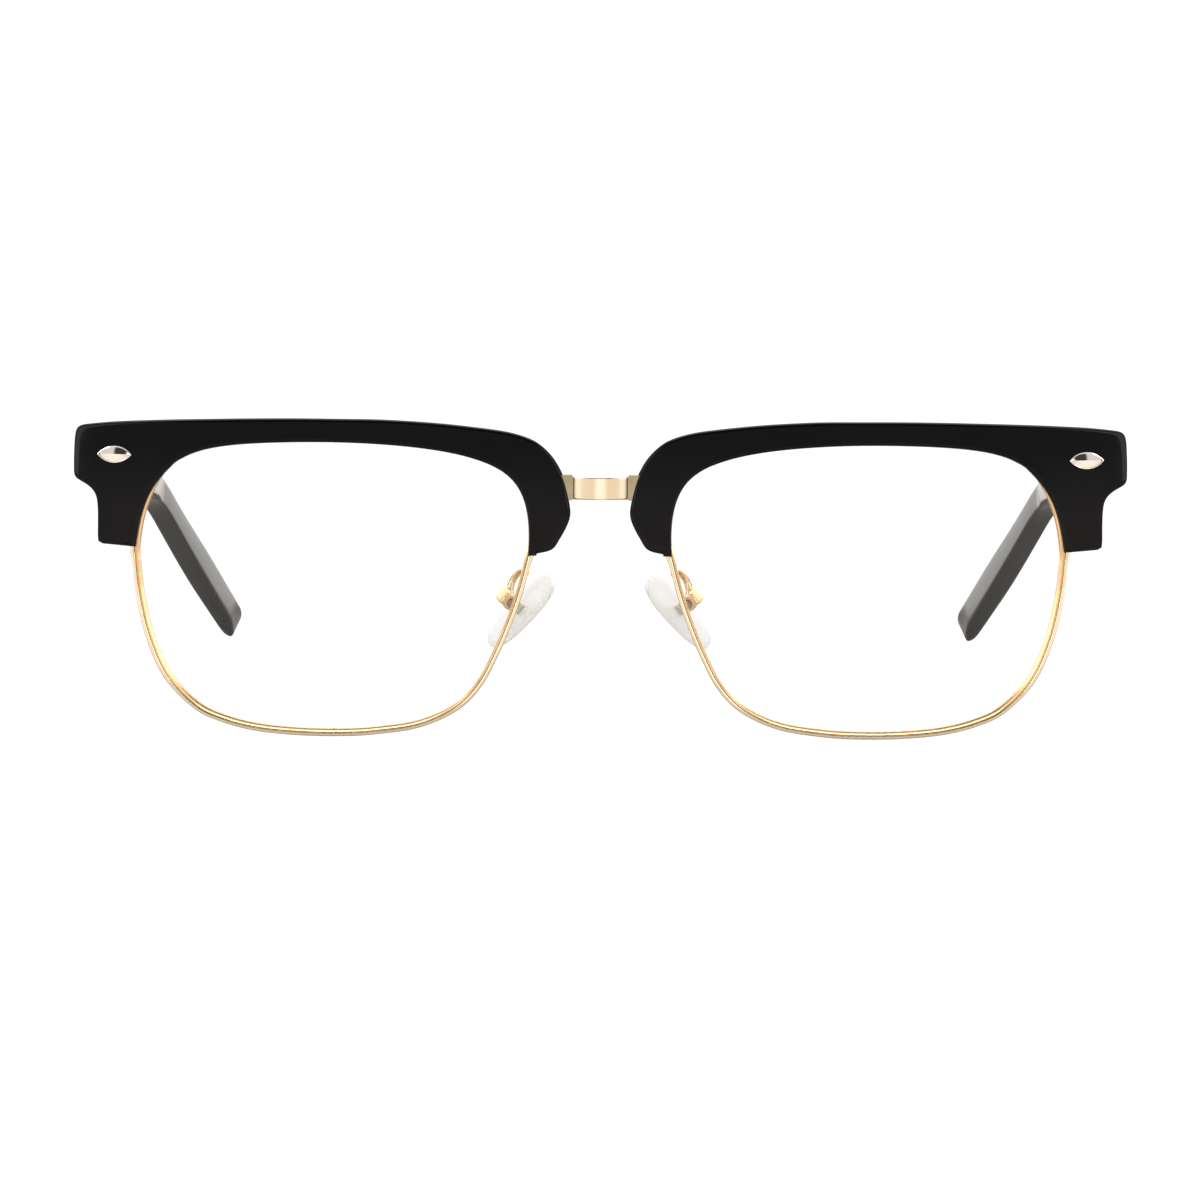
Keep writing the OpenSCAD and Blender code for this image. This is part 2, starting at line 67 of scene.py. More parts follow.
# The brow as a strip between two rails, from the nose end to the leg. Each
# row: outer x, z, inner x, z, and whether the outer edge turns sharply there.
BROW = [
    (8.5, 26.0, 10.15, 25.65, 1), (7.5, 26.2, 10.12, 25.95, 0),
    (6.8, 26.5, 10.1, 26.25, 0), (6.35, 26.95, 10.08, 26.6, 0),
    (5.9, 27.7, 10.05, 27.15, 0), (5.2, 28.9, 10.0, 28.2, 0),
    (4.6, 30.2, 10.05, 29.6, 0), (4.35, 31.3, 10.15, 30.8, 0),
    (4.45, 32.5, 10.35, 32.0, 0), (4.85, 34.6, 10.65, 33.2, 0),
    (5.4, 36.6, 11.25, 34.7, 0), (6.55, 38.7, 12.2, 36.0, 0),
    (8.1, 40.4, 13.5, 37.1, 0), (10.0, 41.6, 15.1, 38.0, 0),
    (13.0, 42.5, 17.4, 38.85, 0), (17.1, 43.1, 20.5, 39.7, 0),
    (22.9, 43.7, 25.2, 40.4, 0),
    (30.0, 44.1, 31.0, 40.85, 0), (36.0, 44.15, 36.4, 41.0, 0),
    (42.0, 44.15, 41.0, 40.95, 0), (48.0, 44.05, 45.8, 40.8, 0),
    (53.3, 43.9, 49.7, 40.55, 0), (59.0, 43.7, 53.3, 40.1, 0),
    (64.0, 43.45, 55.6, 39.4, 0), (67.6, 43.2, 56.7, 38.95, 0),
    (70.6, 42.86, 57.72, 38.4, 0), (71.65, 42.66, 58.25, 38.1, 0),
    (72.2, 42.35, 58.67, 37.82, 0), (72.48, 41.8, 58.97, 37.5, 0),
    (72.58, 40.6, 59.33, 37.1, 0), (72.65, 38.6, 59.93, 36.55, 0),
    (72.65, 36.9, 60.53, 35.85, 0), (72.6, 36.0, 60.93, 35.35, 0),
    (72.35, 35.45, 61.22, 34.95, 0), (71.8, 35.05, 61.53, 34.5, 0),
    (70.8, 34.5, 61.96, 33.8, 0), (69.95, 33.8, 62.36, 33.0, 0),
    (69.45, 32.9, 62.75, 32.1, 0), (69.25, 31.6, 63.05, 31.2, 0),
    (69.2, 30.2, 63.33, 30.2, 0), (69.2, 28.8, 63.65, 28.8, 0),
    (69.2, 27.6, 63.85, 27.6, 0), (69.1, 26.85, 63.95, 26.9, 0),
    (68.7, 26.5, 64.02, 26.2, 1),
]
# Depths behind the middle of the lens wall.
BROW_FRONT = -1.9
BROW_BACK = 2.1
# Back of the lip on the brow's front, which hides the rim.
BROW_LIP = -1.05
RIM_WIDTH = 1.1
# Share of its width that the rim keeps below the brows, up to this height.
RIM_SLIM = 0.69
RIM_SLIM_TO = 24.0
# Rim section: (out from the lens, depth behind the lens wall), in mm.
RIM_SECTION = [
    (0.42, 0.0), (0.02, -0.34), (0.0, -0.62), (0.04, -0.78), (0.12, -0.87),
    (0.19, -0.88), (0.22, -0.80), (0.28, -0.80), (0.32, -0.92), (0.46, -1.0),
    (0.70, -1.03), (0.92, -1.0), (1.05, -0.90), (1.1, -0.74), (1.1, 0.0),
    (1.1, 0.78), (1.04, 0.93), (0.9, 1.0), (0.5, 1.02), (0.14, 1.0),
    (0.02, 0.9), (0.0, 0.34),
]
# Colour of each point of the section: a warm painted reflection on the wall by the lens, painted shade
# in the groove.
PLAIN, WARM_REFLECTION, GROOVE_SHADE = (1, 1, 1), (0.93, 0.70, 0.44), (0.36, 0.22, 0.14)
RIM_PAINTED_LIGHT = [WARM_REFLECTION] * 6 + [GROOVE_SHADE] * 2 + [PLAIN] * 13 + [WARM_REFLECTION]
LENS_MIDDLE = (36.6, 21.4)
LENS_HALF = 0.9
HINGE_FACE = 1.75
TEMPLE_THICK = 3.9
TEMPLE_TALL = 6.7
# The temple past its taper, in mm.
ARM_THICK = 3.5
ARM_TALL = 4.4
ARM = 98.0
ARM_INWARD = 0.3
BEND_BLEND = 9.0
TIP = 46.0
TIP_DROP = 28.2
TIP_INWARD = 11.2
TIP_FLARE = 1.0
TIP_THINNER = 0.7
# Share of the tip's end rounding that comes from below.
TIP_RISE = 0.75
# The underside of the tip narrows to a keel, nearer the outer face.
KEEL = 8.0
KEEL_SHIFT = 1.1
PAD_LEAN = math.radians(-42)
PAD_SPLAY = math.radians(-27)
# The pad's screw in the pad's own frame.
PAD_SCREW_AT = (2.7, 0.0, 0.2)
PAD_LENGTH = 12.8
PAD_WIDTH = 7.2
# The pad wire's middle line, behind the middle of the lens wall.
WIRE = [
    (10.25, 2.45, 23.1), (10.3, 4.4, 23.3), (10.8, 6.6, 23.1), (11.5, 8.0, 22.5),
    (12.1, 8.6, 21.6), (12.45, 8.6, 20.6), (12.45, 8.5, 19.6),
]
WIRE_R = 0.5
BRIDGE_HALF = 3.85
BRIDGE_BOW = 1.25
BRIDGE_WALL = 1.2
BRIDGE_Z = (33.4, 36.6)
# The rivet's middle (x, z), half length, half height, and how far it domes.
RIVET = (66.75, 38.7)
RIVET_HALF = 2.6
RIVET_TALL = 1.2
RIVET_DOME = 0.34


def on_wall(x, z, depth):
    """Points of the curved lens wall at x, z (mm), depth mm behind it."""
    x, z = np.asarray(x, float), np.asarray(z, float)
    dx, dz = x - SPHERE_C[0], z - SPHERE_C[2]
    dy = -np.sqrt(SPHERE_R**2 - dx**2 - dz**2)
    k = (SPHERE_R - depth) / SPHERE_R
    return np.stack([SPHERE_C[0] + dx * k, SPHERE_C[1] + dy * k, SPHERE_C[2] + dz * k], -1)


def smooth(t):
    """Runs from 0 to 1 with level ends, as t does."""
    u = np.clip(t, 0, 1)
    return u * u * (3 - 2 * u)


def squarish(a, power):
    """Both axes of a circle at angles a, squarer as the power falls below 1."""
    c, d = np.cos(a), np.sin(a)
    return np.sign(c) * np.abs(c) ** power, np.sign(d) * np.abs(d) ** power


def turned(u, v, angle):
    """The pair u, v turned by an angle."""
    c, d = math.cos(angle), math.sin(angle)
    return u * c - v * d, u * d + v * c


def catmull(points, steps, closed, sharp=()):
    """Smooth curve through points. A sharp point keeps its corner."""
    p = np.array(points, float)
    n = len(p)
    out = []
    for i in range(n if closed else n - 1):
        b, c = p[i], p[(i + 1) % n]
        a = p[i - 1] if closed or i > 0 else b
        d = p[(i + 2) % n] if closed or i + 2 < n else c
        if i in sharp:
            a = 2 * b - c
        if (i + 1) % n in sharp:
            d = 2 * c - b
        for k in range(steps):
            t = k / steps
            out.append(0.5 * (2 * b + (c - a) * t + (2 * a - 5 * b + 4 * c - d) * t * t
                              + (3 * b - a - 3 * c + d) * t**3))
    if not closed:
        out.append(p[-1])
    return np.array(out)


def offset_loop(loop, d):
    """A closed loop moved outwards by d, with mitred corners. d may be one
    number or one for each point. The loop runs clockwise seen from the front."""
    back = loop - np.roll(loop, 1, 0)
    ahead = np.roll(loop, -1, 0) - loop
    na = np.stack([-back[:, 1], back[:, 0]], 1)
    nb = np.stack([-ahead[:, 1], ahead[:, 0]], 1)
    na /= np.linalg.norm(na, axis=1)[:, None]
    nb /= np.linalg.norm(nb, axis=1)[:, None]
    both = na + nb
    share = 1 + (na * nb).sum(1)
    return loop + both * (np.asarray(d) / np.maximum(share, 0.35))[:, None]


def outward_sign(loop):
    """1 if offset_loop's positive d moves this loop outwards, else -1."""
    x, z = loop[:, 0], loop[:, 1]
    area = 0.5 * (x * np.roll(z, -1) - np.roll(x, -1) * z).sum()
    return 1.0 if area < 0 else -1.0


def build(name, points, faces, side, body, mat, nodes, slot, smooth_angle=32, painted_light=None):
    """A mesh piece from points in mm on the +X side, mirrored for the right."""
    pts = np.array(points, float) * MM
    if side == "right":
        pts[:, 0] *= -1
    mesh = bpy.data.meshes.new(name)
    mesh.from_pydata([tuple(p) for p in pts], [], [tuple(f) for f in faces])
    # Painted light for each point, when given, kept as a colour attribute.
    if painted_light is not None:
        colours = mesh.color_attributes.new("painted_light", "FLOAT_COLOR", "POINT")
        for entry, value in zip(colours.data, painted_light):
            entry.color = (*value, 1.0)
    bm = bmesh.new()
    bm.from_mesh(mesh)
    bmesh.ops.remove_doubles(bm, verts=bm.verts, dist=2e-7)
    bmesh.ops.recalc_face_normals(bm, faces=bm.faces)
    for e in bm.edges:
        e.smooth = len(e.link_faces) == 2 and e.calc_face_angle(0) < math.radians(smooth_angle)
    for f in bm.faces:
        f.smooth = True
    bm.to_mesh(mesh)
    bm.free()
    obj = bpy.data.objects.new(name, mesh)
    bpy.context.scene.collection.objects.link(obj)
    mesh.materials.append(mat)
    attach(obj, body)
    if nodes:
        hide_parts(*nodes)
    return obj


def ring_faces(rings, count, closed):
    """Quads between rings of count points; closed joins the last to the first."""
    faces = []
    for i in range(rings if closed else rings - 1):
        j = (i + 1) % rings
        for k in range(count):
            m = (k + 1) % count
            faces.append((i * count + k, i * count + m, j * count + m, j * count + k))
    return faces


def capped(rings, count):
    """Quads between open rings, with a cap at each end."""
    ends = [tuple(range(count)), tuple(range((rings - 1) * count, rings * count))]
    return ring_faces(rings, count, False) + ends


# ---------------------------------------------------------------- materials
def material(name):
    mat = bpy.data.materials.new(name)
    mat.use_nodes = True
    nt = mat.node_tree
    return mat, nt, nt.nodes["Principled BSDF"], nt.nodes["Material Output"]


def noise(nt, scale, detail=3.0, seed=0.0):
    coord = nt.nodes.new("ShaderNodeTexCoord")
    shift = nt.nodes.new("ShaderNodeMapping")
    shift.inputs["Location"].default_value = (seed, seed * 0.7, seed * 1.3)
    tex = nt.nodes.new("ShaderNodeTexNoise")
    tex.inputs["Scale"].default_value = scale
    tex.inputs["Detail"].default_value = detail
    nt.links.new(coord.outputs["Object"], shift.inputs["Vector"])
    nt.links.new(shift.outputs["Vector"], tex.inputs["Vector"])
    return tex.outputs["Fac"]


def ramp(nt, fac, stops):
    node = nt.nodes.new("ShaderNodeValToRGB")
    nt.links.new(fac, node.inputs["Fac"])
    els = node.color_ramp.elements
    while len(els) < len(stops):
        els.new(0.5)
    for el, (at, colour) in zip(els, stops):
        el.position = at
        el.color = (*colour, 1.0)
    return node.outputs["Color"]


def map_range(nt, value, source, target):
    node = nt.nodes.new("ShaderNodeMapRange")
    node.inputs["From Min"].default_value, node.inputs["From Max"].default_value = source
    node.inputs["To Min"].default_value, node.inputs["To Max"].default_value = target
    nt.links.new(value, node.inputs["Value"])
    return node.outputs["Result"]


def maths(nt, operation, *values):
    """A maths node. Each value is a socket or a number."""
    node = nt.nodes.new("ShaderNodeMath")
    node.operation = operation
    for socket, value in zip(node.inputs, values):
        if isinstance(value, float):
            socket.default_value = value
        else:
            nt.links.new(value, socket)
    return node.outputs[0]


def axes_of(nt, output):
    """The three axes of a texture coordinate."""
    coord = nt.nodes.new("ShaderNodeTexCoord")
    split = nt.nodes.new("ShaderNodeSeparateXYZ")
    nt.links.new(coord.outputs[output], split.inputs[0])
    return split.outputs


def solid_material(name, dark, light, metal, rough, specular, scale, coat=0.0, seed=0.0):
    mat, nt, bsdf, _ = material(name)
    grain = noise(nt, scale, 4.0, seed)
    wear = noise(nt, scale * 2.3, 3.0, seed + 5)
    nt.links.new(ramp(nt, grain, [(0.3, dark), (0.7, light)]), bsdf.inputs["Base Color"])
    nt.links.new(map_range(nt, wear, (0.3, 0.7), rough), bsdf.inputs["Roughness"])
    bsdf.inputs["Metallic"].default_value = metal
    bsdf.inputs["Specular IOR Level"].default_value = specular
    bsdf.inputs["Coat Weight"].default_value = coat
    bsdf.inputs["Coat Roughness"].default_value = 0.05
    return mat


def mixed(nt, share, first, second, out):
    """Joins a mix of two shaders to the surface output. A share of 1 is the second."""
    mix = nt.nodes.new("ShaderNodeMixShader")
    nt.links.new(share, mix.inputs["Fac"])
    nt.links.new(first, mix.inputs[1])
    nt.links.new(second, mix.inputs[2])
    nt.links.new(mix.outputs["Shader"], out.inputs["Surface"])


def clear_material(name, through, body_colour, rough, edge, least, seed):
    """Clear plastic: what is behind it shows through, less so at grazing angles."""
    mat, nt, bsdf, out = material(name)
    lighter = [min(c * 1.03, 1) for c in body_colour]
    tint = ramp(nt, noise(nt, 160.0, 2.0, seed), [(0.3, body_colour), (0.7, lighter)])
    nt.links.new(tint, bsdf.inputs["Base Color"])
    bsdf.inputs["Roughness"].default_value = rough
    clear = nt.nodes.new("ShaderNodeBsdfTransparent")
    clear.inputs["Color"].default_value = (*through, 1.0)
    facing = nt.nodes.new("ShaderNodeLayerWeight")
    facing.inputs["Blend"].default_value = edge
    share = map_range(nt, facing.outputs["Facing"], (0.0, 1.0), (least, 0.95))
    mixed(nt, share, clear.outputs["BSDF"], bsdf.outputs["BSDF"], out)
    return mat


BROW_MAT = solid_material("black_acetate", (0.0080, 0.0073, 0.0071), (0.0105, 0.0096, 0.0093),
                          0.0, (0.07, 0.12), 0.10, 180.0)
TEMPLE_MAT = solid_material("dark_grey_acetate", (0.0075, 0.0060, 0.0048), (0.012, 0.0100, 0.0083),
                            0.0, (0.15, 0.20), 0.42, 220.0, seed=2.0)
GOLD_MAT = solid_material("champagne_gold", (0.64, 0.51, 0.33), (0.72, 0.58, 0.38),
                          1.0, (0.18, 0.26), 0.5, 300.0, seed=3.0)
BRIDGE_MAT = solid_material("champagne_strap", (0.93, 0.92, 0.91), (1.0, 1.0, 1.0),
                            1.0, (0.26, 0.31), 0.5, 120.0, seed=4.0)
RIM_MAT = solid_material("champagne_rim", (0.84, 0.70, 0.51), (0.89, 0.75, 0.55),
                         1.0, (0.20, 0.28), 0.5, 300.0, seed=11.0)
LUG_MAT = solid_material("bronze_block", (0.34, 0.28, 0.18), (0.44, 0.36, 0.23),
                         1.0, (0.26, 0.36), 0.5, 320.0, seed=5.0)
ARM_MAT = solid_material("yellow_gold", (0.80, 0.57, 0.32), (0.88, 0.64, 0.37),
                         1.0, (0.14, 0.22), 0.5, 300.0, seed=6.0)
SILVER_MAT = solid_material("polished_silver", (0.80, 0.73, 0.67), (0.88, 0.81, 0.74),
                            1.0, (0.06, 0.09), 0.5, 260.0, seed=7.0)
SCREW_MAT = solid_material("screw_steel", (0.30, 0.26, 0.21), (0.42, 0.37, 0.30),
                           1.0, (0.20, 0.30), 0.5, 400.0, seed=8.0)
LENS_MAT = clear_material("clear_lens", (0.992, 0.995, 0.994), (0.85, 0.87, 0.87),
                          0.03, 0.08, 0.012, 9.0)
PAD_MAT = clear_material("clear_pad", (0.925, 0.923, 0.918), (0.81, 0.80, 0.79),
                         0.14, 0.32, 0.34, 10.0)
# The strap's champagne tint across it, from its middle to either end, with painted reflections as its
# light and dark bands.
TINT_AND_PAINTED_REFLECTIONS = ((0.0, (1.0, 0.92, 0.72)), (0.10, (1.0, 0.91, 0.70)), (0.27, (0.80, 0.64, 0.44)),
         (0.62, (0.76, 0.62, 0.44)), (0.80, (0.86, 0.74, 0.56)), (0.90, (0.66, 0.57, 0.43)),
         (1.0, (0.45, 0.38, 0.27)))


def add_tint_and_painted_reflections(mat, half_width):
    """Painted reflections: light and dark bands across a polished strap, the same on both sides, which
    also carry its tint.
    """
    nt = mat.node_tree
    away = maths(nt, "ABSOLUTE", axes_of(nt, "Object")["X"])
    tinted(mat, ramp(nt, maths(nt, "DIVIDE", away, half_width * MM), TINT_AND_PAINTED_REFLECTIONS))


def tinted(mat, colour):
    """Multiplies the base colour by another colour."""
    nt = mat.node_tree
    base = nt.nodes["Principled BSDF"].inputs["Base Color"]
    mix = nt.nodes.new("ShaderNodeMix")
    mix.data_type = "RGBA"
    mix.blend_type = "MULTIPLY"
    mix.inputs["Factor"].default_value = 1.0
    nt.links.new(base.links[0].from_socket, mix.inputs[6])
    nt.links.new(colour, mix.inputs[7])
    nt.links.new(mix.outputs[2], base)


def add_painted_light(mat):
    """Colours the surface by the mesh's painted light: a painted reflection and painted shade for each
    point.
    """
    nt = mat.node_tree
    painted_light = nt.nodes.new("ShaderNodeAttribute")
    painted_light.attribute_name = "painted_light"
    tinted(mat, painted_light.outputs["Color"])


def add_painted_height_shade(mat, low, high, least):
    """Painted shade: darkens from height low to height high, in mm, so the lower part stays lighter as a
    painted highlight.
    """
    nt = mat.node_tree
    rise = map_range(nt, axes_of(nt, "Object")["Z"], (low * MM, high * MM), (0.0, 1.0))
    tinted(mat, ramp(nt, rise, [(0.0, (1.0, 1.0, 1.0)), (1.0, [least] * 3)]))


# Painted shade on the black brow, darker towards its top; the lighter leg below it is a painted
# highlight.
add_painted_height_shade(BROW_MAT, 31.0, 40.5, 0.3)
# Painted reflections on the bridge strap, as light and dark bands.
add_tint_and_painted_reflections(BRIDGE_MAT, BRIDGE_HALF)
# Painted reflection on the rim by the lens, and painted shade in its groove.
add_painted_light(RIM_MAT)

# ---------------------------------------------------------------- the brows
STEPS = 4
ACROSS = 18
SHARP = [i for i, row in enumerate(BROW) if row[4]]


def strip_loop(outer, inner):
    """Closed loop: outer rail, leg edge, inner rail back, nose edge."""
    f = np.linspace(0, 1, ACROSS + 1)[1:-1, None]
    leg = outer[-1] * (1 - f) + inner[-1] * f
    nose = inner[0] * (1 - f) + outer[0] * f
    return np.concatenate([outer, leg, inner[::-1], nose])


def rails_of(loop, count):
    """The outer and the inner rail of a loop made by strip_loop."""
    outer = loop[:count]
    inner = loop[count + ACROSS - 1: 2 * count + ACROSS - 1][::-1]
    return outer, inner


def rail_distance(points, curve):
    """Signed distance outside a closed curve (positive is outside)."""
    nxt = np.roll(curve, -1, 0)
    out = []
    sign = outward_sign(curve)
    for p in points:
        d = nxt - curve
        t = np.clip(((p - curve) * d).sum(1) / (d * d).sum(1), 0, 1)
        near = curve + d * t[:, None]
        gap = np.linalg.norm(p - near, axis=1)
        i = int(gap.argmin())
        n = np.array([-d[i][1], d[i][0]]) * sign
        out.append(math.copysign(gap[i], float((p - near[i]) @ n)))
    return np.array(out)


def softened(line, times):
    """An open line with its small kinks smoothed out; its ends stay."""
    line = line.copy()
    for _ in range(times):
        line[1:-1] = (line[:-2] + 2 * line[1:-1] + line[2:]) / 4
    return line


def brow_mesh():
    """The brow, with rounded edges and a rebate for the rim behind its lip."""
    outer = catmull([(r[0], r[1]) for r in BROW], STEPS, False, SHARP)
    inner = softened(catmull([(r[2], r[3]) for r in BROW], STEPS, False), 5 * STEPS)
    count = len(outer)
    loop = strip_loop(outer, inner)
    sign = outward_sign(loop)
    aperture = catmull(APERTURE, 4, True)
    # Inner rail moved back clear of the rim, for the rebate behind the lip.
    gap = np.maximum(RIM_WIDTH + 0.15 - rail_distance(inner, aperture), 0.05)
    tangent = np.gradient(inner, axis=0)
    normal = np.stack([-tangent[:, 1], tangent[:, 0]], 1)
    normal /= np.linalg.norm(normal, axis=1)[:, None]
    toward = outer - inner
    normal *= np.sign((normal * toward).sum(1))[:, None]
    inner_back = inner + normal * gap[:, None]
    for end in (0, -1):
        across = outer[end] - inner[end]
        inner_back[end] = inner[end] + across * gap[end] / np.linalg.norm(across)
    points, rings, faces = [], [], []
    share = np.linspace(0, 1, ACROSS + 1)[None, :, None]
    row = ACROSS + 1

    def ring(plan, depth):
        """One ring of points round the brow's edge, at one depth."""
        start = len(points)
        points.extend(on_wall(plan[:, 0], plan[:, 1], depth))
        rings.append((start, len(plan)))

    def sheet(plan, depth, behind):
        """One face of the brow, as a grid between its two rails."""
        rail_out, rail_in = rails_of(plan, count)
        grid = rail_out[:, None, :] * (1 - share) + rail_in[:, None, :] * share
        base = len(points)
        points.extend(on_wall(grid[..., 0], grid[..., 1], depth).reshape(-1, 3))
        for i in range(count - 1):
            for k in range(ACROSS):
                a = base + i * row + k
                if behind:
                    faces.append((a, a + row, a + row + 1, a + 1))
                else:
                    faces.append((a, a + 1, a + row + 1, a + row))

    # The outer edge is rounded more softly than the edge along the lens.
    outer_r, leg_r, lens_r, nose_r, end_r = 0.6, 0.45, 0.38, 0.5, 0.30
    rail = np.arange(len(loop))
    r = np.where(rail < count, outer_r, np.where(rail < count + ACROSS - 1, leg_r, lens_r))
    r[rail >= 2 * count + ACROSS - 1] = nose_r
    r[:6] = np.linspace(nose_r, outer_r, 6)
    # It is crisper at the stepped end, up to the top corner.
    end = (rail < count) & (loop[:, 0] > 69.0)
    r[end] = np.clip(end_r + (loop[end, 1] - 40.8) * 0.2, end_r, outer_r)
    arcs = 8
    fronts = []
    for k in range(arcs + 1):
        a = math.pi / 2 * k / arcs
        fronts.append((-r * (1 - math.sin(a)), BROW_FRONT + r * (1 - math.cos(a))))
    sheet(offset_loop(loop, sign * fronts[0][0]), BROW_FRONT, False)
    for d, depth in fronts:
        ring(offset_loop(loop, sign * d), depth)
    ring(loop, BROW_LIP)
    back_loop = strip_loop(outer, inner_back)
    ring(back_loop, BROW_LIP)
    back_r = 0.3
    for k in range(4):
        a = math.pi / 2 * k / 3
        inset = back_r * (1 - math.cos(a))
        ring(offset_loop(back_loop, -sign * inset), BROW_BACK - back_r * (1 - math.sin(a)))
    sheet(offset_loop(back_loop, -sign * back_r), BROW_BACK, True)
    for (s0, n), (s1, _) in zip(rings, rings[1:]):
        for k in range(n):
            m = (k + 1) % n
            faces.append((s0 + k, s0 + m, s1 + m, s1 + k))
    return points, faces


def hinge_frame(p):
    """Points in the hinge's own frame (x, back, up) to the row frame, in mm."""
    up = HINGE_AXIS
    back = np.array([0.0, up[2], -up[1]])
    p = np.asarray(p, float)
    return HINGE + p[..., :1] * np.array([1.0, 0, 0]) + p[..., 1:2] * back + p[..., 2:3] * up


def end_block():
    """The brow's end, running back to the temple, as a rounded bar."""
    # Inner and outer face, underside and top, and the radius of its edges.
    x0, x1, z0, z1, r = HINGE_FACE, 5.6, -3.2, 3.3, 0.9
    section = []
    for cx, cz, a0 in ((x1 - r, z1 - r, 0), (x0 + r, z1 - r, 90),
                       (x0 + r, z0 + r, 180), (x1 - r, z0 + r, 270)):
        for k in range(5):
            a = math.radians(a0 + 22.5 * k)
            section.append((cx + r * math.cos(a), cz + r * math.sin(a)))
    section = np.array(section)
    mid = section.mean(0)
    points, n = [], len(section)
    # Each row: how far back from the hinge, and the section's size there.
    rows = ((-5.4, 1.0), (-3.0, 1.0), (-0.25, 1.0), (-0.08, 0.985), (0.0, 0.93))
    for y, k in rows:
        s = mid + (section - mid) * k
        # The outside of the end leans in a little towards the top.
        lean = -0.025 * (s[:, 1] - z0) * (s[:, 0] > mid[0])
        # Forward of the hinge it keeps below the brow's rounded top.
        level = 0.12 * y
        points.extend(hinge_frame(np.stack([s[:, 0] + lean, np.full(n, y), s[:, 1] + level], 1)))
    return points, capped(len(rows), n)


# ---------------------------------------------------------------- the rims
def swept_rim():
    """The rim section carried round the lens opening."""
    line = catmull(APERTURE, 10, True)
    sign = outward_sign(line)
    n, m = len(line), len(RIM_SECTION)
    d = np.roll(line, -1, 0) - np.roll(line, 1, 0)
    normal = np.stack([-d[:, 1], d[:, 0]], 1) * sign
    normal /= np.linalg.norm(normal, axis=1)[:, None]
    # Slimmer below the brows, and full width in them.
    share = RIM_SLIM + (1 - RIM_SLIM) * smooth((line[:, 1] - RIM_SLIM_TO) / 3.0)
    points = []
    for p, q, slim in zip(line, normal, share):
        for out, depth in RIM_SECTION:
            points.append(on_wall(p[0] + q[0] * out * slim, p[1] + q[1] * out * slim, depth))
    return points, ring_faces(n, m, True)


def lens_mesh():
    """The lens as nested rings on both faces, with a bevelled edge."""
    line = catmull(APERTURE, 6, True)
    sign = outward_sign(line)
    mid = np.array(LENS_MIDDLE)
    edge = offset_loop(line, -sign * 0.05)
    bevel = offset_loop(line, sign * 0.36)
    rings = []
    shares = np.linspace(0.08, 1, 13)
    for f in shares:
        rings.append((mid + f * (edge - mid), -LENS_HALF))
    rings.append((bevel, 0.0))
    for f in shares[::-1]:
        rings.append((mid + f * (edge - mid), LENS_HALF))
    points = []
    for plan, depth in rings:
        points.extend(on_wall(plan[:, 0], plan[:, 1], depth))
    n = len(line)
    faces = ring_faces(len(rings), n, False)
    for start, depth in ((0, -LENS_HALF), ((len(rings) - 1) * n, LENS_HALF)):
        points.append(on_wall(mid[0], mid[1], depth))
        for k in range(n):
            faces.append((len(points) - 1, start + k, start + (k + 1) % n))
    return points, faces


# ---------------------------------------------------------------- temples
def temple_mesh():
    """The temple as rings along its middle line, from the hinge to the tip."""
    total = ARM + TIP
    fine = 150
    # Rings along the temple, closest together over its last few millimetres.
    last = 7
    close = np.sin(np.radians(np.linspace(0, 90, 16)[1:]))
    s = np.concatenate([[0.16, 0.24, 0.42], np.linspace(0.9, total - last, fine),
                        total - last + (last - 0.03) * close])
    drop = np.radians(TIP_DROP * smooth((s - ARM + BEND_BLEND) / (2 * BEND_BLEND)))
    mids = (drop[1:] + drop[:-1]) / 2
    ds = np.diff(s)
    y = np.concatenate([[s[0]], s[0] + np.cumsum(ds * np.cos(mids))])
    z = np.concatenate([[0], np.cumsum(-ds * np.sin(mids))])
    side = (-ARM_INWARD * np.clip((s / ARM - 0.12) / 0.88, 0, 1)
            - TIP_INWARD * (np.maximum(s - ARM, 0) / TIP) ** 1.1)
    wide = (TEMPLE_THICK - (TEMPLE_THICK - ARM_THICK) * smooth((s - 12) / 30)
            - TIP_THINNER * smooth((s - total + 24) / 24))
    tall = (TEMPLE_TALL - (TEMPLE_TALL - ARM_TALL) * smooth((s - 10) / 70)
            + TIP_FLARE * smooth((s - ARM - 5) / 25))

    def rounded(length):
        """1 along the temple, falling to nothing over the last length of it."""
        e = np.minimum((total - s) / length, 1)
        return np.sqrt(np.maximum(1 - (1 - e) ** 2, 0.0004))

    slim, end = rounded(4), 0.5 + 0.5 * rounded(6)
    keel = 1 - np.clip((s - total + KEEL) / KEEL, 0, 1) ** 1.5
    count = 36
    a = np.linspace(0, 2 * math.pi, count, endpoint=False)
    points = []
    for i in range(len(s)):
        # Its front end has a small rounded edge.
        front = 0.90 if i == 0 else 0.975 if i == 1 else 1.0
        k = end[i] * front
        # The section is a soft rectangle that turns oval towards the tip.
        cx, cz = squarish(a, 0.25 + 0.35 * (1 - slim[i]))
        # Its underside narrows to a keel, nearer the outer face.
        low = (1 - cz) / 2 * (1 - keel[i])
        across = cx * (1 - 0.85 * low) * wide[i] / 2 * slim[i] * front
        x = HINGE_FACE + TEMPLE_THICK / 2 + side[i] + across + KEEL_SHIFT * low
        # The tip is rounded mostly from below.
        up = tall[i] / 2 * (cz * k + TIP_RISE * (1 - k) * (i > 2))
        local = np.stack([x, y[i] + up * math.sin(drop[i]), z[i] + up * math.cos(drop[i])], 1)
        points.extend(hinge_frame(local))
    return points, capped(len(s), count)


# ---------------------------------------------------------------- nose parts
def pad_axes():
    """The pad's own axes in the row frame: out, along its screw, and up."""
    def turn(v):
        x, y, z = v
        x, y = turned(x, y, PAD_SPLAY)
        z, x = turned(z, x, PAD_LEAN)
        return np.array([x, y, z])

    return turn((1, 0, 0)), turn((0, 1, 0)), turn((0, 0, 1))


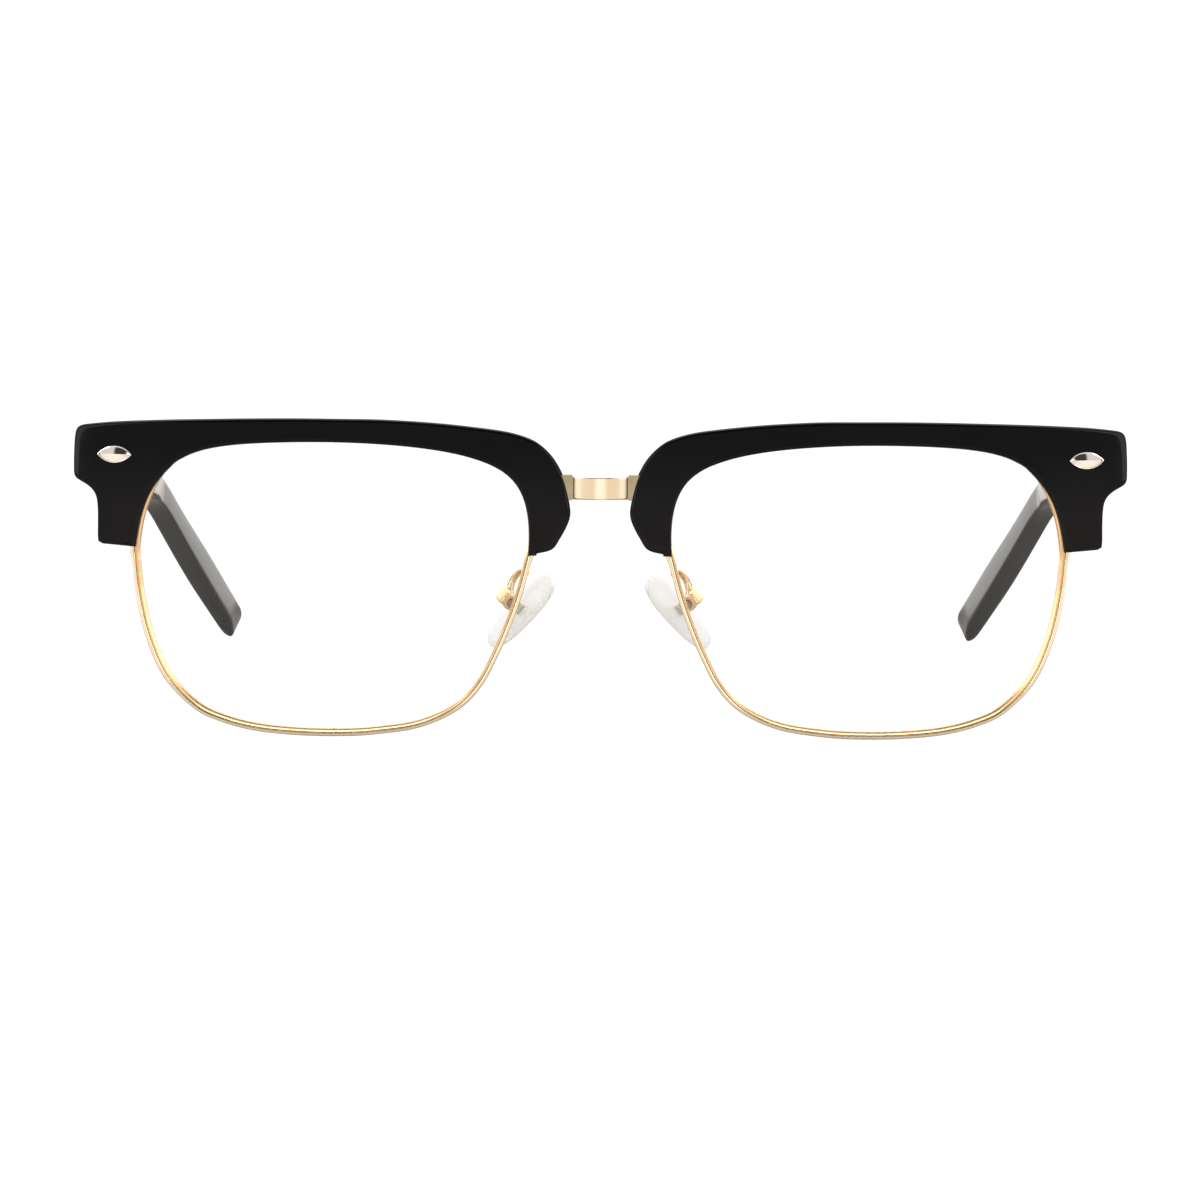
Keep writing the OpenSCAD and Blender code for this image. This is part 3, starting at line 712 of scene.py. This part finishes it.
def pad_frame(p):
    """Points in the pad's own frame to the row frame, in mm."""
    a, b, c = pad_axes()
    centre = PAD_PIVOT - PAD_SCREW_AT[0] * a - PAD_SCREW_AT[2] * c
    p = np.asarray(p, float)
    return centre + p[..., :1] * a + p[..., 1:2] * b + p[..., 2:3] * c


def pad_mesh():
    """A soft-edged pad: rings from the middle of one face to the other."""
    count = 72
    a = np.linspace(0, 2 * math.pi, count, endpoint=False)
    across, down = squarish(a, 0.70)
    py = PAD_WIDTH / 2 * across * (1 - 0.10 * down)
    pz = -PAD_LENGTH / 2 * down
    rings = []
    turns = np.linspace(-90, 90, 25)[1:-1]
    for t in np.radians(turns):
        f = math.cos(t) ** 0.55
        rings.append((f * py, f * pz, math.sin(t)))
    points = []
    # Thicker on the side of the nose, with the edge rolled over.
    for y, z, h in rings:
        bulge = (y / (PAD_WIDTH / 2)) ** 2 + (z / (PAD_LENGTH / 2)) ** 2
        x = np.where(h < 0, 0.82 * h * (1 - 0.05 * bulge), 0.62 * h) + 0.18 * bulge
        points.extend(pad_frame(np.stack([x, y, z], 1)))
    return points, capped(len(rings), count)


def lump(centre, half, around, along):
    """A closed rounded block in the pad's frame, centred by the screw. The
    powers set how square it is: around the screw's axis and along it."""
    count, levels = ((36, 17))
    a = np.linspace(0, 2 * math.pi, count, endpoint=False)
    px, pz = squarish(a, around)
    points = []
    for t in np.radians(np.linspace(-86, 86, levels)):
        level = math.copysign(abs(math.sin(t)) ** along, t)
        share = math.cos(t) ** along
        ring = np.stack([centre[0] + half[0] * share * px,
                         np.full(count, centre[1] + half[1] * level),
                         centre[2] + half[2] * share * pz], 1)
        points.extend(pad_frame(ring + np.array(PAD_SCREW_AT)))
    return points, capped(levels, count)


def pad_box_mesh():
    """Two round cheeks beside the pad's insert, joined by a rounded back."""
    points, faces = [], []
    lumps = [((0.22, y, 0), (1.38, 0.26, 1.15), 0.85, 0.40) for y in (-1.0, 1.0)]
    lumps.append(((1.29, 0, 0), (0.34, 1.25, 1.10), 0.60, 0.50))
    for centre, half, around, along in lumps:
        more, more_faces = lump(centre, half, around, along)
        faces += [tuple(i + len(points) for i in f) for f in more_faces]
        points += more
    return points, faces


def tube(path, radius, count):
    """A round wire along a path, turning as little as it can."""
    path = np.array(path, float)
    t = np.gradient(path, axis=0)
    t /= np.linalg.norm(t, axis=1)[:, None]
    u = np.cross(t[0], [1.0, 0, 0])
    points = []
    a = np.linspace(0, 2 * math.pi, count, endpoint=False)
    for p, q in zip(path, t):
        u = u - q * (u @ q)
        u /= np.linalg.norm(u)
        v = np.cross(q, u)
        points.extend(p + radius * (np.cos(a)[:, None] * u + np.sin(a)[:, None] * v))
    return points, capped(len(path), count)


def arm_mesh():
    """The bent wire from the rim to the pad box."""
    path = catmull(WIRE, 10, False)
    path[:, 1] += FRONT_Y
    return tube(path, WIRE_R, 20)


# ---------------------------------------------------------------- bridge
def bridge_mesh():
    """The bowed strap, with rounded edges, from end to end."""
    radius = (BRIDGE_HALF**2 + BRIDGE_BOW**2) / (2 * BRIDGE_BOW)
    front = FRONT_Y + 0.2
    r = 0.24
    shallow, deep = r, BRIDGE_WALL - r
    low, high = BRIDGE_Z[0] + r, BRIDGE_Z[1] - r
    section = []
    for cd, cz, a0 in ((deep, high, 0), (shallow, high, 90), (shallow, low, 180), (deep, low, 270)):
        for turn in (-4, 0, 30, 60, 90, 94):
            a = math.radians(a0 + min(max(turn, 0), 90))
            # Points just beside each corner keep the faces between them flat.
            past = 0.03 * ((turn > 90) - (turn < 0))
            section.append((cd + r * math.cos(a) - past * math.sin(a),
                            cz + r * math.sin(a) + past * math.cos(a)))
    points = []
    steps = 40
    reach = math.asin(BRIDGE_HALF / radius) * 0.995
    for t in np.linspace(-reach, reach, steps + 1):
        for depth, z in section:
            rr = radius - depth
            points.append((rr * math.sin(t), front + radius - rr * math.cos(t), z))
    return points, capped(steps + 1, len(section))


# ---------------------------------------------------------------- rivets
def rivet_mesh():
    """Pointed oval head with a flat rim and a raised ridge, domed lengthwise."""
    dx, dz = RIVET[0] - SPHERE_C[0], RIVET[1] - SPHERE_C[2]
    yaw = math.asin(dx / math.sqrt(SPHERE_R**2 - dz * dz))
    tilt = math.asin(dz / SPHERE_R)
    out = np.array([math.sin(yaw) * math.cos(tilt), -math.cos(yaw) * math.cos(tilt),
                    math.sin(tilt)])
    along = np.array([math.cos(yaw), math.sin(yaw), 0.0])
    up = np.cross(along, -out)
    base = on_wall(RIVET[0], RIVET[1], BROW_FRONT)
    arc = (RIVET_HALF**2 + RIVET_TALL**2) / (2 * RIVET_TALL)
    n = 28
    x = RIVET_HALF * np.sin(np.linspace(-math.pi / 2, math.pi / 2, n + 1))
    z = np.sqrt(np.maximum(arc**2 - x**2, 0)) - (arc - RIVET_TALL)
    ring = np.concatenate([np.stack([x, z], 1), np.stack([x[::-1][1:-1], -z[::-1][1:-1]], 1)])
    points = []
    # Each row: share of the length, share of the height, and how far out.
    profile = ((1.0, 1.0, -0.02), (1.0, 1.0, 0.20), (0.985, 0.97, 0.27), (0.955, 0.90, 0.28),
               (0.93, 0.84, 0.24), (0.92, 0.81, 0.26), (0.90, 0.0, 0.70))
    for along_share, up_share, height in profile:
        for px, pz in ring:
            dome = 1 - RIVET_DOME * (px / RIVET_HALF) ** 2 if height > 0.5 else 1.0
            points.append(base + along * px * along_share + up * pz * up_share
                          + out * height * dome)
    m = len(ring)
    return points, ring_faces(len(profile), m, False) + [tuple(range(m))]


# ---------------------------------------------------------------- assembling
brow_points, brow_faces = brow_mesh()
block_points, block_faces = end_block()
shift = len(brow_points)
brow_points = list(brow_points) + list(block_points)
brow_faces = brow_faces + [tuple(i + shift for i in f) for f in block_faces]
rim_points, rim_faces = swept_rim()
lens_points, lens_faces = lens_mesh()
temple_points, temple_faces = temple_mesh()
pad_points, pad_faces = pad_mesh()
arm_points, arm_faces = arm_mesh()
rivet_points, rivet_faces = rivet_mesh()
box_points, box_faces = pad_box_mesh()

for side in ("left", "right"):
    build(f"{side}_brow_shell", brow_points, brow_faces, side, "front", BROW_MAT,
          [f"{side}_brow"], "brow_acetate", 24)
    build(f"{side}_rim_wire", rim_points, rim_faces, side, "front", RIM_MAT,
          [f"{side}_rim"], "gold_metal", 40, RIM_PAINTED_LIGHT * (len(rim_points) // len(RIM_PAINTED_LIGHT)))
    build(f"{side}_lens_clear", lens_points, lens_faces, side, "front", LENS_MAT,
          [f"{side}_lens"], "clear_lens", 20)
    build(f"{side}_temple_arm", temple_points, temple_faces, side, f"{side}_temple", TEMPLE_MAT,
          [f"{side}_temple"], "temple_acetate", 40)
    build(f"{side}_pad_soft", pad_points, pad_faces, side, f"{side}_nose_pad", PAD_MAT,
          [f"{side}_nose_pad"], "clear_pad", 60)
    build(f"{side}_pad_wire", arm_points, arm_faces, side, "front", ARM_MAT,
          [f"{side}_pad_arm"], "gold_metal", 50)
    build(f"{side}_pad_cheeks", box_points, box_faces, side, "front", ARM_MAT,
          [f"{side}_pad_box"], "gold_metal", 50)
    build(f"{side}_rivet_head", rivet_points, rivet_faces, side, "front", SILVER_MAT,
          [f"{side}_trim_rivet"], "silver_metal", 18)
build("bridge_strap", *bridge_mesh(), "left", "front", BRIDGE_MAT, ["bridge"], "gold_metal", 50)

KEPT = {
    "bridge_lug": (LUG_MAT, "gold_metal", 0.25),
    "pad_screw": (SCREW_MAT, "silver_metal", 0.08), "pad_insert": (SILVER_MAT, "silver_metal", 0.08),
    "front_hinge": (GOLD_MAT, "gold_metal", 0.12), "hinge_screw": (SILVER_MAT, "silver_metal", 0.08),
    "rim_lock_upper": (GOLD_MAT, "gold_metal", 0.15), "rim_lock_lower": (GOLD_MAT, "gold_metal", 0.15),
    "rim_lock_screw": (SILVER_MAT, "silver_metal", 0.06), "temple_hinge": (GOLD_MAT, "gold_metal", 0.12),
    "temple_rivets": (SILVER_MAT, "silver_metal", 0.1),
}
for side in ("left", "right"):
    for part, (mat, slot, width) in KEPT.items():
        obj = frame["nodes"][f"{side}_{part}"]
        obj.data.materials.clear()
        obj.data.materials.append(mat)
        bevel = obj.modifiers.new("edges", "BEVEL")
        bevel.width = width * MM
        bevel.segments = 2
        bevel.limit_method = "ANGLE"
        bevel.angle_limit = math.radians(40)

# ---------------------------------------------------------------- studio
# Strength of the plain white that the camera sees.
WHITE = 1.1
# The floor glows more strongly between these distances from the middle, in m.
GLOW_MIDDLE = (0.0, 0.05, 0.0)
GLOW_REACH = (0.09, 0.21)
GLOW = (0.02, 0.90)
# Strength of the studio's light, and of the dark flag above the viewer.
SKY = 0.80
FLAG = 0.048
FLAG_SPAN = {"X": (-0.47, 0.47), "Y": (-0.88, -0.28), "Z": (0.45, 0.95)}
FLAG_EDGE = 0.05
# The backdrop is this many times as bright as the rest.
BACKDROP = 2.2


def camera_sees(nt, plain, lighting, out):
    """The camera sees the plain shader, and every other ray the lighting."""
    path = nt.nodes.new("ShaderNodeLightPath")
    mixed(nt, path.outputs["Is Camera Ray"], lighting, plain, out)


def window(nt, value, low, high):
    """1 from low to high, falling to 0 just outside."""
    up = map_range(nt, value, (low - FLAG_EDGE, low), (0.0, 1.0))
    down = map_range(nt, value, (high + FLAG_EDGE, high), (0.0, 1.0))
    return maths(nt, "MULTIPLY", up, down)


floor_mesh = bpy.data.meshes.new("floor")
floor_mesh.from_pydata([(-40, -40, 0), (40, -40, 0), (40, 40, 0), (-40, 40, 0)], [], [(0, 1, 2, 3)])
floor = bpy.data.objects.new("floor", floor_mesh)
bpy.context.scene.collection.objects.link(floor)
floor_mat, nt, bsdf, out = material("pale_floor")
bsdf.inputs["Base Color"].default_value = (0.25, 0.23, 0.21, 1)
bsdf.inputs["Roughness"].default_value = 0.9
bsdf.inputs["Specular IOR Level"].default_value = 0.1
bsdf.inputs["Emission Color"].default_value = (1, 0.96, 0.91, 1)
place = nt.nodes.new("ShaderNodeTexCoord")
away = nt.nodes.new("ShaderNodeVectorMath")
away.operation = "DISTANCE"
away.inputs[1].default_value = GLOW_MIDDLE
nt.links.new(place.outputs["Object"], away.inputs[0])
# The floor is brighter away from the glasses, which gives them their sheen.
glow = map_range(nt, away.outputs["Value"], GLOW_REACH, GLOW)
nt.links.new(glow, bsdf.inputs["Emission Strength"])
white = nt.nodes.new("ShaderNodeEmission")
white.inputs["Color"].default_value = (1.0, 1.0, 1.0, 1)
white.inputs["Strength"].default_value = WHITE
camera_sees(nt, white.outputs["Emission"], bsdf.outputs["BSDF"], out)
floor_mesh.materials.append(floor_mat)

world = bpy.data.worlds.new("studio")
bpy.context.scene.world = world
world.use_nodes = True
nt = world.node_tree
nt.nodes.clear()
seen = nt.nodes.new("ShaderNodeBackground")
seen.inputs["Color"].default_value = (1.0, 1.0, 1.0, 1)
seen.inputs["Strength"].default_value = WHITE
lit = nt.nodes.new("ShaderNodeBackground")
axes = axes_of(nt, "Generated")
shade = ramp(nt, axes["Z"], [(0.30, (0.95, 0.95, 0.95)), (0.80, (1.0, 1.0, 1.0))])
nt.links.new(shade, lit.inputs["Color"])
flag = 1.0
for axis, (low, high) in FLAG_SPAN.items():
    flag = maths(nt, "MULTIPLY", flag, window(nt, axes[axis], low, high))
sky = map_range(nt, flag, (0.0, 1.0), (SKY, FLAG))
behind = map_range(nt, axes["Y"], (0.2, 0.6), (1.0, BACKDROP))
nt.links.new(maths(nt, "MULTIPLY", sky, behind), lit.inputs["Strength"])
world_out = nt.nodes.new("ShaderNodeOutputWorld")
camera_sees(nt, seen.outputs["Background"], lit.outputs["Background"], world_out)


def softbox(name, at, size, power, target=(0, -0.05, 0.03)):
    light = bpy.data.lights.new(name, "AREA")
    light.shape = "RECTANGLE"
    light.size, light.size_y = size
    light.energy = power
    obj = bpy.data.objects.new(name, light)
    bpy.context.scene.collection.objects.link(obj)
    obj.location = at
    obj.rotation_mode = "QUATERNION"
    obj.rotation_quaternion = (Vector(target) - Vector(at)).to_track_quat("-Z", "Y")


softbox("top_box", (0.0, 0.2, 1.1), (1.2, 0.7), 11.0)
softbox("left_box", (-1.1, -0.7, 0.6), (0.5, 0.9), 5.0)
softbox("right_box", (1.1, -0.7, 0.6), (0.5, 0.9), 5.0)

# ---------------------------------------------------------------- camera
ELEVATION = math.radians(5.15)
DISTANCE = 0.8061
ROLL = math.radians(0.38)
aim = Vector((0.00005, FRONT_Y * MM, 0.01962))
back = Vector((0.0, -math.cos(ELEVATION), math.sin(ELEVATION)))
cam_data = bpy.data.cameras.new("camera")
cam_data.sensor_width = 36.0
cam_data.lens = 175.2
camera = bpy.data.objects.new("camera", cam_data)
bpy.context.scene.collection.objects.link(camera)
camera.rotation_mode = "QUATERNION"
camera.location = aim + back * DISTANCE
camera.rotation_quaternion = (-back).to_track_quat("-Z", "Y") @ Quaternion((0, 0, 1), ROLL)
cam_data.clip_start, cam_data.clip_end = 0.01, 100
bpy.context.scene.camera = camera
bpy.context.scene.view_settings.view_transform = "Standard"
